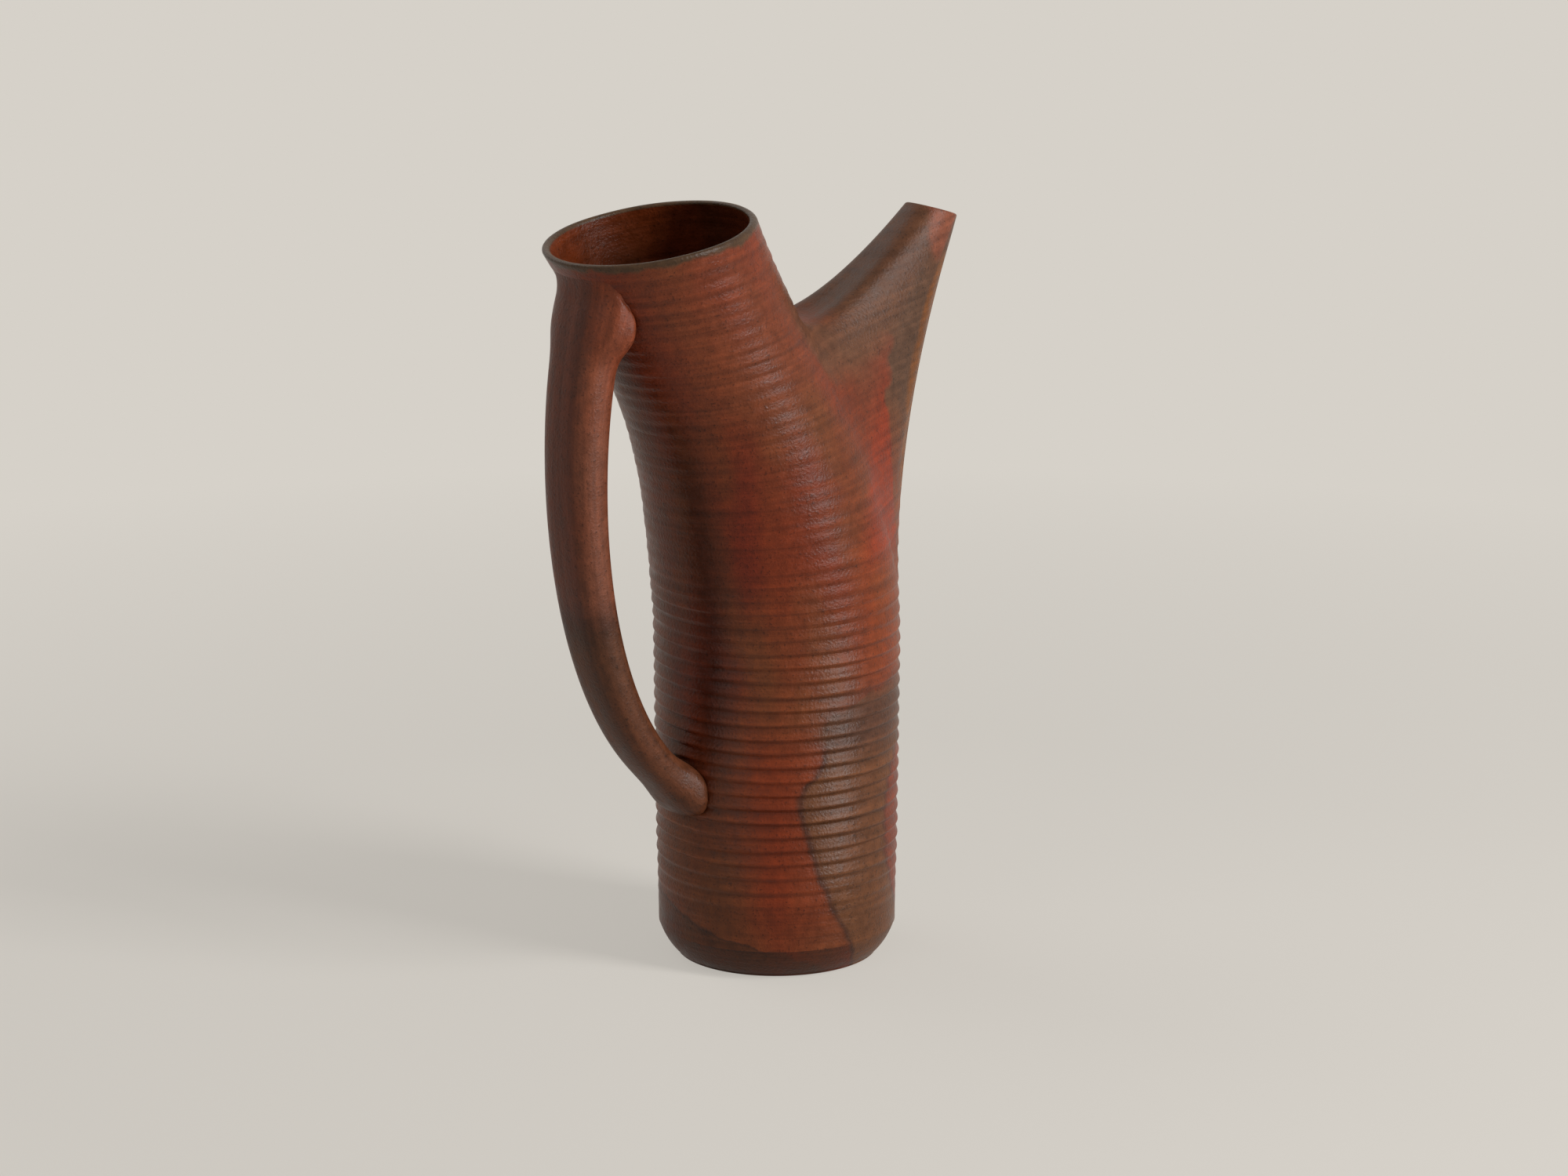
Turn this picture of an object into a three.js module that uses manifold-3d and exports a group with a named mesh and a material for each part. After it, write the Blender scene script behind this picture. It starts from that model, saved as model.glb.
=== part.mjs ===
// A tall stoneware jug with a leaning neck, a tapered spout and a pulled handle.
// Millimetres, +Z up, +X towards the spout, origin in the middle of the foot's underside.
// Heights on the thrown tube are measured along its axis, which is straight, then bends, then is straight.

import * as THREE from 'three';
import { mergeVertices } from 'three/addons/utils/BufferGeometryUtils.js';
import Module from 'manifold-3d';

// Foot and floor
const FOOT_RADIUS = 42.5;
const FLOOR_THICKNESS = 8;
const CURB_HEIGHT = 5;
const FLOOR_COVE = 6;
const BEVEL_BULGE = 1.2;

// Thrown tube
const BODY_RADIUS = 50;
const SHOULDER_SWELL = 1.6;
const NECK_RADIUS = 42.2;
const RIM_FLARE = 1.6;
const WALL = 5;
const RIM_WALL = 3.2;
const LOWER_LENGTH = 108;
const STRAIGHT_ABOVE_JOINT = 14;
const LEAN_LENGTH = 118;
const NECK_LENGTH = 75;
const TAPER_DELAY = 21;
const TAPER_OVERRUN = 28;
const FLARE_LENGTH = 38;
const LEAN = THREE.MathUtils.degToRad(29.6);
const RIM_TILT = THREE.MathUtils.degToRad(10.2);

// Throwing rings left by the fingers
const RING_PITCH = 6;
const RING_DEPTH = 0.55;
const RING_START = 15;
const RING_GAIN = 28;
const RING_FADE = 47;

// Spout
const SPOUT_ROOT_RISE = 9;
const SADDLE_DROP = 53.5;
const SPOUT_ROOT_SPREAD = THREE.MathUtils.degToRad(54);
const SADDLE_BLUNTNESS = 0.42;
const JUST_PAST_EDGE = 1.01;
const JUST_ROUND_EDGE = 0.01;
const TIP_REACH = 33.3;
const TIP_BELOW_RIM = 6.4;
const TIP_RADIUS = 11;
const TIP_WALL = 2.8;
const TIP_CUT = THREE.MathUtils.degToRad(18);
const TIP_LEAN_OUTER = THREE.MathUtils.degToRad(25.8);
const TIP_LEAN_SADDLE = THREE.MathUtils.degToRad(45.9);
const TIP_SPLAY = 0.16;
const NOSE_CROWN = 3;
const NOSE_SHARPNESS = 5;
const SWEEP_FROM = 0.25;
const SWEEP_TO = 0.75;
const PULL_TIP_OUTER = 0.51;
const PULL_TIP_SADDLE = 0.81;
const PULL_ROOT_OUTER = 1.42;
const PULL_ROOT_SADDLE = 0.8;
const PULL_ROOT_BORE = 1.0;

// Handle
const HANDLE_TOP_DROP = 17;
const HANDLE_TOP_SINK = 7.7;
const HANDLE_LOW_HEIGHT = 78;
const HANDLE_LOW_SINK = 3;
const HANDLE_TOP_PULL = 59.9;
const HANDLE_TOP_ANGLE = THREE.MathUtils.degToRad(21.7);
const HANDLE_LOW_PULL = 69.1;
const HANDLE_LOW_ANGLE = THREE.MathUtils.degToRad(62.7);
const HANDLE_WIDTH_TOP = 31.5;
const HANDLE_WIDTH_LOW = 22.2;
const HANDLE_THICKNESS_TOP = 21;
const HANDLE_THICKNESS_LOW = 14.6;
const HANDLE_SQUARENESS = 2.6;
const ROOT_LEAD_IN = 10;
const TOP_SPREAD = 22;
const TOP_SPREAD_AT = 11;
const TOP_SPREAD_LENGTH = 14;
const LOW_SPREAD = 10;
const LOW_SWELL = 9;
const LOW_SPREAD_LENGTH = 12;

// Slip joint between two members, and the fineness of the facets
const SLIP = 0.3;
const TUBE_SIDES = 36;
const SMOOTH_STEP = 10;
const INNER_STEP = 14;
const SPOUT_SIDES = 36;
const SPOUT_STEPS = 10;
const HANDLE_SIDES = 18;
const HANDLE_STEPS = 26;
const CURVE_STEPS = 4;

// Radius and heights along the axis that follow from the sizes above
const SHOULDER_RADIUS = BODY_RADIUS + SHOULDER_SWELL;
const BEVEL_TOP = FLOOR_THICKNESS + CURB_HEIGHT;
const JOINT = BEVEL_TOP + LOWER_LENGTH;
const LEAN_START = JOINT + STRAIGHT_ABOVE_JOINT;
const LEAN_END = LEAN_START + LEAN_LENGTH;
const RIM = LEAN_END + NECK_LENGTH;
const TAPER_START = LEAN_START + TAPER_DELAY;
const TAPER_END = LEAN_END + TAPER_OVERRUN;
const FLARE_START = RIM - FLARE_LENGTH;
const FIRST_RING = BEVEL_TOP + RING_START;
const LAST_RING = JOINT + RING_FADE;

const { clamp, lerp, smoothstep } = THREE.MathUtils;

// Axis of the leaning tube: its point at a height, and how far the section is tipped there.
// A section tips less than the axis leans, because the soft tube was pushed over and not bent.
function axisAt(height) {
  const bendRadius = LEAN_LENGTH / LEAN;
  const turn = clamp((height - LEAN_START) / LEAN_LENGTH, 0, 1) * LEAN;
  const past = Math.max(height - LEAN_END, 0);
  return {
    x: -(bendRadius * (1 - Math.cos(turn)) + past * Math.sin(turn)),
    z: Math.min(height, LEAN_START) + bendRadius * Math.sin(turn) + past * Math.cos(turn),
    tilt: (turn * RIM_TILT) / LEAN,
  };
}

// Outside radius of the tube without its rings
function tubeRadius(height) {
  const body = lerp(BODY_RADIUS, SHOULDER_RADIUS, clamp(height / TAPER_START, 0, 1));
  const taper = (NECK_RADIUS - SHOULDER_RADIUS) * smoothstep(height, TAPER_START, TAPER_END);
  const flare = Math.max((height - FLARE_START) / FLARE_LENGTH, 0);
  return body + taper + RIM_FLARE * flare * flare;
}

// Height of the rings above and below the plain tube: strong low down, fading on the shoulder
function ringHeight(height) {
  const gain = smoothstep(height, BEVEL_TOP, FIRST_RING + RING_GAIN);
  const fade = 1 - smoothstep(height, JOINT, LAST_RING);
  return (RING_DEPTH / 2) * gain * fade * Math.cos((2 * Math.PI * (height - FIRST_RING)) / RING_PITCH);
}

function wallAt(height) {
  return lerp(WALL, RIM_WALL, smoothstep(height, FLARE_START, RIM));
}

// Point of the leaning tube at a height and an angle round it, moved outwards by offset
function onTube(height, angle, offset) {
  const axis = axisAt(height);
  const radius = tubeRadius(height) + offset;
  const across = radius * Math.cos(angle);
  return new THREE.Vector3(
    axis.x + across * Math.cos(axis.tilt),
    radius * Math.sin(angle),
    axis.z + across * Math.sin(axis.tilt),
  );
}

// Heights of the facets from one end of a wall to the other: crests and troughs, then wider steps
function wallRows(from, to) {
  const half = RING_PITCH / 2;
  const rows = [from];
  const end = Math.min(to, LAST_RING) - half / 2;
  for (let height = FIRST_RING; height < end; height += half) {
    if (height > from + half / 2) rows.push(height);
  }
  const smooth = to > LAST_RING ? evenRows(LAST_RING, to, SMOOTH_STEP) : [to];
  return [...rows, ...smooth];
}

function evenRows(from, to, step) {
  const count = Math.max(Math.ceil((to - from) / step), 1);
  return Array.from({ length: count + 1 }, (_, index) => lerp(from, to, index / count));
}

// Closed body from a geometry: shared corners merged, collapsed triangles dropped, faces turned out
function closed(geometry) {
  const bare = geometry.clone();
  bare.deleteAttribute('normal');
  bare.deleteAttribute('uv');
  const merged = mergeVertices(bare);
  const position = merged.attributes.position;
  const corner = [new THREE.Vector3(), new THREE.Vector3(), new THREE.Vector3()];
  const faces = [];
  let volume = 0;
  for (let first = 0; first < merged.index.count; first += 3) {
    const face = [0, 1, 2].map((step) => merged.index.getX(first + step));
    if (new Set(face).size < 3) continue;
    face.forEach((vertex, step) => corner[step].fromBufferAttribute(position, vertex));
    volume += corner[0].dot(corner[1].cross(corner[2]));
    faces.push(face);
  }
  merged.setIndex(faces.flatMap((face) => (volume < 0 ? face.reverse() : face)));
  return merged;
}

// Revolved profile of radius and height, then pushed over to follow the leaning axis
function thrown(profile) {
  const outline = profile.map(([radius, height]) => new THREE.Vector2(radius, height));
  const geometry = new THREE.LatheGeometry(outline, TUBE_SIDES).rotateX(Math.PI / 2);
  const position = geometry.attributes.position;
  for (let vertex = 0; vertex < position.count; vertex++) {
    const axis = axisAt(position.getZ(vertex));
    const across = position.getX(vertex);
    position.setX(vertex, axis.x + across * Math.cos(axis.tilt));
    position.setZ(vertex, axis.z + across * Math.sin(axis.tilt));
  }
  return closed(geometry);
}

// Skin over rings of points. Each ring has the same count, and a ring of one point is a pole.
function skinned(rings, closesOnItself) {
  const sides = Math.max(...rings.map((ring) => ring.length));
  const full = rings.map((ring) => (ring.length === 1 ? Array(sides).fill(ring[0]) : ring));
  const points = full.flat().flatMap((point) => [point.x, point.y, point.z]);
  const faces = [];
  const bands = closesOnItself ? full.length : full.length - 1;
  for (let band = 0; band < bands; band++) {
    const next = (band + 1) % full.length;
    for (let side = 0; side < sides; side++) {
      const beside = (side + 1) % sides;
      const corners = [band * sides + side, band * sides + beside, next * sides + beside, next * sides + side];
      faces.push(corners[0], corners[1], corners[2], corners[0], corners[2], corners[3]);
    }
  }
  const geometry = new THREE.BufferGeometry();
  geometry.setAttribute('position', new THREE.Float32BufferAttribute(points, 3));
  geometry.setIndex(faces);
  return closed(geometry);
}

const wasm = await Module();
wasm.setup();

function cutAway(geometry, tool) {
  const [solid, cutter] = [geometry, tool].map((body) => new wasm.Manifold(new wasm.Mesh({
    numProp: 3,
    vertProperties: new Float32Array(body.attributes.position.array),
    triVerts: new Uint32Array(body.index.array),
  })));
  const left = solid.subtract(cutter).getMesh();
  const result = new THREE.BufferGeometry();
  result.setAttribute('position', new THREE.BufferAttribute(left.vertProperties.slice(), 3));
  result.setIndex(new THREE.BufferAttribute(left.triVerts.slice(), 1));
  return result;
}

// Base floor: a thrown slab with a trimmed bevel outside and a low curb that carries the wall
function baseFloor() {
  const inside = BODY_RADIUS - WALL;
  const bevel = new THREE.QuadraticBezierCurve(
    new THREE.Vector2(FOOT_RADIUS, 0),
    new THREE.Vector2((FOOT_RADIUS + BODY_RADIUS) / 2 + BEVEL_BULGE, BEVEL_TOP / 2 - BEVEL_BULGE),
    new THREE.Vector2(BODY_RADIUS, BEVEL_TOP),
  );
  const cove = new THREE.QuadraticBezierCurve(
    new THREE.Vector2(inside, BEVEL_TOP),
    new THREE.Vector2(inside, FLOOR_THICKNESS),
    new THREE.Vector2(inside - FLOOR_COVE, FLOOR_THICKNESS),
  );
  const edge = [...bevel.getPoints(CURVE_STEPS), ...cove.getPoints(CURVE_STEPS)];
  return thrown([[0, 0], ...edge.map((point) => [point.x, point.y]), [0, FLOOR_THICKNESS]]);
}

const ringed = (height) => [tubeRadius(height) + ringHeight(height), height];
const lined = (height) => [tubeRadius(height) - wallAt(height), height];

// Lower body: the straight ringed cylinder between the foot and the leaning part
function lowerBody() {
  const bottom = BEVEL_TOP + SLIP;
  const outside = wallRows(bottom, JOINT).map(ringed);
  const inside = evenRows(bottom, JOINT, LOWER_LENGTH / 2).map(lined).reverse();
  return thrown([...outside, ...inside, outside[0]]);
}

// Upper body: shoulder, neck and rounded rim thrown in one, leaning away from the spout
function upperBody() {
  const bottom = JOINT + SLIP;
  const lip = RIM_WALL / 2;
  const top = RIM - lip;
  const outside = wallRows(bottom, top).map(ringed);
  const round = evenRows(0, Math.PI, Math.PI / CURVE_STEPS).slice(1, -1)
    .map((turn) => [tubeRadius(top) - lip + lip * Math.cos(turn), top + lip * Math.sin(turn)]);
  const inside = evenRows(bottom, top, INNER_STEP).map(lined).reverse();
  return cutAway(thrown([...outside, ...round, ...inside, outside[0]]), spoutHole());
}

// Spout root: an oval drawn on the tube, from low on the front to a blunt saddle under the rim.
// Round angle 0 is the low outer end and half a turn is the saddle; share 1 is the edge itself.
const ROOT_LOW = JOINT + SPOUT_ROOT_RISE;
const ROOT_HIGH = RIM - SADDLE_DROP;

function spoutRoot(round, share, grow, offset) {
  const bluntness = Math.cos(round) < 0 ? SADDLE_BLUNTNESS : 1;
  const breadth = Math.sign(Math.sin(round)) * Math.abs(Math.sin(round)) ** bluntness;
  const middle = (ROOT_LOW + ROOT_HIGH) / 2;
  const halfLength = (ROOT_HIGH - ROOT_LOW) / 2 + grow;
  const spread = SPOUT_ROOT_SPREAD + grow / NECK_RADIUS;
  return onTube(middle - share * halfLength * Math.cos(round), share * spread * breadth, offset);
}

const roundSpout = Array.from({ length: SPOUT_SIDES }, (_, side) => (2 * Math.PI * side) / SPOUT_SIDES);

// Hole for the spout: a plug through the wall along the root's edge, one slip joint larger
function spoutHole() {
  const outside = 2 * WALL;
  const shares = evenRows(0, 1, 1 / CURVE_STEPS).slice(1);
  const layer = (share, offset) => roundSpout.map((round) => spoutRoot(round, share, SLIP, offset));
  return skinned([
    [spoutRoot(0, 0, SLIP, outside)],
    ...shares.map((share) => layer(share, outside)),
    layer(1, 0),
    layer(1, -WALL),
    ...shares.map((share) => layer(share, -outside)).reverse(),
    [spoutRoot(0, 0, SLIP, -outside)],
  ], false);
}

// One line down the spout, from its cut tip to its root, outside or inside the wall.
// Outside, the saddle half sweeps level onto the neck and runs flush with it.
function spoutLine(round, inner) {
  const behind = (1 - Math.cos(round)) / 2;
  const saddle = smoothstep(behind, 0, 1);
  const rim = axisAt(RIM);
  const radius = TIP_RADIUS - (inner ? TIP_WALL : 0);
  const tip = new THREE.Vector3(
    SHOULDER_RADIUS + TIP_REACH + radius * Math.cos(round) * Math.cos(TIP_CUT),
    radius * Math.sin(round),
    rim.z - TIP_BELOW_RIM - radius * Math.cos(round) * Math.sin(TIP_CUT),
  );
  const offset = inner ? -WALL : 0;
  const root = spoutRoot(round, 1, 0, offset);
  const lean = lerp(TIP_LEAN_OUTER, TIP_LEAN_SADDLE, saddle);
  const leaving = new THREE.Vector3(-Math.sin(lean), TIP_SPLAY * Math.sin(round), -Math.cos(lean)).normalize();
  const arriving = spoutRoot(round, JUST_PAST_EDGE, 0, offset).sub(root).normalize();
  if (!inner) {
    const besideRoot = spoutRoot(round + JUST_ROUND_EDGE, 1, 0, offset).sub(root);
    const flush = new THREE.Vector3(-1, 0, 0).projectOnPlane(besideRoot.cross(arriving).normalize());
    arriving.lerp(flush.normalize(), smoothstep(behind, SWEEP_FROM, SWEEP_TO)).normalize();
  }
  const span = tip.distanceTo(root);
  const rootPull = inner ? PULL_ROOT_BORE : PULL_ROOT_SADDLE;
  const pullTip = span * lerp(PULL_TIP_OUTER, PULL_TIP_SADDLE, saddle);
  const pullRoot = span * lerp(PULL_ROOT_OUTER, rootPull, saddle);
  const front = new THREE.Vector3(Math.cos(TIP_LEAN_OUTER), 0, -Math.sin(TIP_LEAN_OUTER));
  const crown = (4 / 3) * NOSE_CROWN * Math.max(Math.cos(round), 0) ** NOSE_SHARPNESS;
  return new THREE.CubicBezierCurve3(
    tip,
    tip.clone().addScaledVector(leaving, pullTip / 3).addScaledVector(front, crown),
    root.clone().addScaledVector(arriving, -pullRoot / 3).addScaledVector(front, crown),
    root,
  );
}

// Spout: a thrown cone let into the wall, with its tip cut on a slope
function spout() {
  const skin = (inner) => {
    const lines = roundSpout.map((round) => spoutLine(round, inner));
    return evenRows(0, 1, 1 / SPOUT_STEPS).map((share) => lines.map((line) => line.getPoint(share)));
  };
  return skinned([...skin(false), ...skin(true).reverse()], true);
}

// Handle: a pulled strap that hangs from under the rim and is pressed on low on the body.
// Its top spreads towards the wall, and its low end swells where it was pressed.
function handle() {
  const top = onTube(RIM - HANDLE_TOP_DROP, Math.PI, -HANDLE_TOP_SINK);
  const low = onTube(HANDLE_LOW_HEIGHT, Math.PI, -HANDLE_LOW_SINK);
  const hang = new THREE.Vector3(-Math.sin(HANDLE_TOP_ANGLE), 0, -Math.cos(HANDLE_TOP_ANGLE));
  const lift = new THREE.Vector3(-Math.sin(HANDLE_LOW_ANGLE), 0, Math.cos(HANDLE_LOW_ANGLE));
  const line = new THREE.CubicBezierCurve3(
    top,
    top.clone().addScaledVector(hang, HANDLE_TOP_PULL),
    low.clone().addScaledVector(lift, HANDLE_LOW_PULL),
    low,
  );
  const length = line.getLength();
  const section = (share, centre, along) => {
    const nearTop = Math.exp(-(((share * length - TOP_SPREAD_AT) / TOP_SPREAD_LENGTH) ** 2));
    const nearLow = Math.exp(-((((1 - share) * length) / LOW_SPREAD_LENGTH) ** 2));
    const outerWidth = lerp(HANDLE_WIDTH_TOP, HANDLE_WIDTH_LOW, share) + LOW_SPREAD * nearLow;
    const thickness = lerp(HANDLE_THICKNESS_TOP, HANDLE_THICKNESS_LOW, share) + LOW_SWELL * nearLow;
    const outwards = new THREE.Vector3(along.z, 0, -along.x);
    const rounded = (value) => Math.sign(value) * Math.abs(value) ** (2 / HANDLE_SQUARENESS);
    return Array.from({ length: HANDLE_SIDES }, (_, side) => {
      const turn = (2 * Math.PI * side) / HANDLE_SIDES;
      const width = outerWidth + (TOP_SPREAD * nearTop * (1 - Math.cos(turn))) / 2;
      const point = centre.clone().addScaledVector(outwards, (thickness / 2) * rounded(Math.cos(turn)));
      point.y += (width / 2) * rounded(Math.sin(turn));
      return point;
    });
  };
  const start = top.clone().addScaledVector(hang, -ROOT_LEAD_IN);
  const end = low.clone().addScaledVector(lift, -ROOT_LEAD_IN);
  const rings = evenRows(0, 1, 1 / HANDLE_STEPS)
    .map((share) => section(share, line.getPointAt(share), line.getTangentAt(share)));
  const strap = skinned([
    [start],
    section(0, start, hang),
    ...rings,
    section(1, end, lift.clone().negate()),
    [end],
  ], false);
  const outside = wallRows(BEVEL_TOP, RIM).map(ringed).map(([radius, height]) => [radius + SLIP, height]);
  return cutAway(strap, thrown([[0, BEVEL_TOP], ...outside, [0, RIM]]));
}

// Fired stoneware colours, one for each member
const members = [
  ['base_floor', baseFloor(), 0x5a3122, 0.72],
  ['lower_body', lowerBody(), 0x7d4630, 0.62],
  ['upper_body', upperBody(), 0x824b36, 0.6],
  ['spout', spout(), 0x77503c, 0.62],
  ['handle', handle(), 0x6b4433, 0.66],
];

const jug = new THREE.Group();
for (const [name, geometry, color, roughness] of members) {
  const mesh = new THREE.Mesh(geometry, new THREE.MeshStandardMaterial({ color, roughness, metalness: 0 }));
  mesh.name = name;
  jug.add(mesh);
}

export default jug;
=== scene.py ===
import math

import bmesh
import bpy
import numpy as np
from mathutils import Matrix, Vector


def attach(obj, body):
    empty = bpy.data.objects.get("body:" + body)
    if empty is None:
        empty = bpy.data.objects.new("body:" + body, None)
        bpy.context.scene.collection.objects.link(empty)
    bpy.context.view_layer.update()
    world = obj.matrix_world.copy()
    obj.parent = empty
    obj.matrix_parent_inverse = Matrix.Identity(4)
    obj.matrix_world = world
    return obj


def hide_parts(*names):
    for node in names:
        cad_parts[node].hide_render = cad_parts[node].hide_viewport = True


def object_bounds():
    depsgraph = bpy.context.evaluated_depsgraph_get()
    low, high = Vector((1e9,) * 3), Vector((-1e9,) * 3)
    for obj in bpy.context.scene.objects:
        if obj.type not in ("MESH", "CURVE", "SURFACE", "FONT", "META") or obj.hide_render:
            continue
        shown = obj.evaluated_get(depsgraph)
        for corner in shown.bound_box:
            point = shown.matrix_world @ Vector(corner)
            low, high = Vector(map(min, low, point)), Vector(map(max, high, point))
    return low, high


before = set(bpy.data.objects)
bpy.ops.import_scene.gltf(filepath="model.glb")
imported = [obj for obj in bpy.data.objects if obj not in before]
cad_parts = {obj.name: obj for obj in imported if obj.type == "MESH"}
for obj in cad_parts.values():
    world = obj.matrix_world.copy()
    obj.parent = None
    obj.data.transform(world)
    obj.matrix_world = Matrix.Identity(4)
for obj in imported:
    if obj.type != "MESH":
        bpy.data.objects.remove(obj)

cad_low, cad_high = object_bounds()

# Base floor
# The slab of stoneware that the jug stands on, with a low curb that carries the wall.
# It was cut off the wheel with a wire, and its edge was trimmed to a bevel when leather-hard,
# which left a sharp crease above the bevel and fine turning lines on it.
BODY_RADIUS = 0.050
FOOT_RADIUS = 0.0425
FOOT_EDGE = 0.0009
FLOOR_THICKNESS = 0.008
FLOOR_COVE = 0.006
FLOOR_EYE = 0.004
FLOOR_RING_PITCH = 0.0075
FLOOR_RING_HEIGHT = 0.0005
BEVEL_TOP = 0.013
BEVEL_BULGE = 0.0012
WALL = 0.005
RIM = 0.328
OUT_OF_ROUND = 0.0004
FOOT_EDGE_ROWS = 6
BEVEL_ROWS = 22
COVE_ROWS = 8
EYE_ROWS = 56
COLUMNS = 160
FRONT = math.radians(130)
MIX_A = 6
MIX_B = 7


def srgb(code):
    """Linear colour of an sRGB hex value."""
    shares = [int(code[place:place + 2], 16) / 255 for place in (0, 2, 4)]
    linear = [share / 12.92 if share <= 0.04045 else ((share + 0.055) / 1.055) ** 2.4 for share in shares]
    return [*linear, 1.0]


def node(tree, kind, *sources, at=(), **settings):
    """Adds a node with its settings, its sources in socket order, and those in at by name or number."""
    made = tree.nodes.new(kind)
    for name, value in settings.items():
        setattr(made, name, value)
    for place, source in [*enumerate(sources), *dict(at).items()]:
        if isinstance(source, bpy.types.Node):
            source = next(out for out in source.outputs if out.enabled)
        if isinstance(source, bpy.types.NodeSocket):
            tree.links.new(source, made.inputs[place])
        elif source is not None:
            made.inputs[place].default_value = source
    return made


# A patch between a left and a right edge and from low to high. Most are marks that the flame or the ash
# left; some are painted shade and one is a painted reflection
FLASH_AND_PAINTED_LIGHT = bpy.data.node_groups.new("Flash and painted light", "ShaderNodeTree")
for name in ("Clay", "Flash and painted light"):
    FLASH_AND_PAINTED_LIGHT.interface.new_socket(name, in_out="INPUT", socket_type="NodeSocketColor")
for name in (
    "Strength", "Around", "Along", "Left", "Left edge", "Right", "Right edge", "Low", "High", "Fade",
):
    FLASH_AND_PAINTED_LIGHT.interface.new_socket(name, in_out="INPUT", socket_type="NodeSocketFloat")
FLASH_AND_PAINTED_LIGHT.interface.new_socket("Clay", in_out="OUTPUT", socket_type="NodeSocketColor")
entry = node(FLASH_AND_PAINTED_LIGHT, "NodeGroupInput").outputs
mask = entry["Strength"]
for place, limit, blur, ends in (
    ("Around", "Left", "Left edge", (0.0, 1.0)),
    ("Around", "Right", "Right edge", (1.0, 0.0)),
    ("Along", "Low", "Fade", (0.0, 1.0)),
    ("Along", "High", "Fade", (1.0, 0.0)),
):
    gap = node(FLASH_AND_PAINTED_LIGHT, "ShaderNodeMath", entry[place], entry[limit], operation="SUBTRACT")
    before = node(FLASH_AND_PAINTED_LIGHT, "ShaderNodeMath", entry[blur], -1.0, operation="MULTIPLY")
    share = node(
        FLASH_AND_PAINTED_LIGHT, "ShaderNodeMapRange", gap, before, entry[blur], *ends, interpolation_type="SMOOTHSTEP")
    mask = node(FLASH_AND_PAINTED_LIGHT, "ShaderNodeMath", mask, share, operation="MULTIPLY")
mixed = node(
    FLASH_AND_PAINTED_LIGHT, "ShaderNodeMix", at={0: mask, MIX_A: entry["Clay"], MIX_B: entry["Flash and painted light"]}, data_type="RGBA")
node(FLASH_AND_PAINTED_LIGHT, "NodeGroupOutput", mixed)

# Sizes of the clay's patterns. Its grit is really about half a millimetre, and is drawn coarser so that it
# shows. A flash's edge sways by a share of a turn and rises by a share of the jug's height.
FLAME_PATCH = 0.045
FLAME_STRETCH = 0.45
WISP = 0.009
EDGE_SWAY = 0.011
EDGE_RISE = 0.022
MOTTLE = 0.004
GRIT = 0.0011
GRIT_HEIGHT = 0.0003
STREAK_HEIGHT = 0.00018

# The span of a noise that is used, how far each pattern darkens or lightens the clay, and what it does to
# the sheen
NOISE_SPAN = 0.3, 0.7
WARM_SPAN = 0.36, 0.66
SPECK_SPAN = 0.60, 0.70
STREAK_TONE = 0.76, 1.2
MOTTLE_TONE = 0.8, 1.16
# Painted shade in the troughs of the rings and painted highlight on their crests
RING_SHADE_AND_HIGHLIGHT = 0.84, 1.12
SPECK_TONE = 1.0, 0.55
SHEEN_SPREAD = -0.06, 0.08


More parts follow.
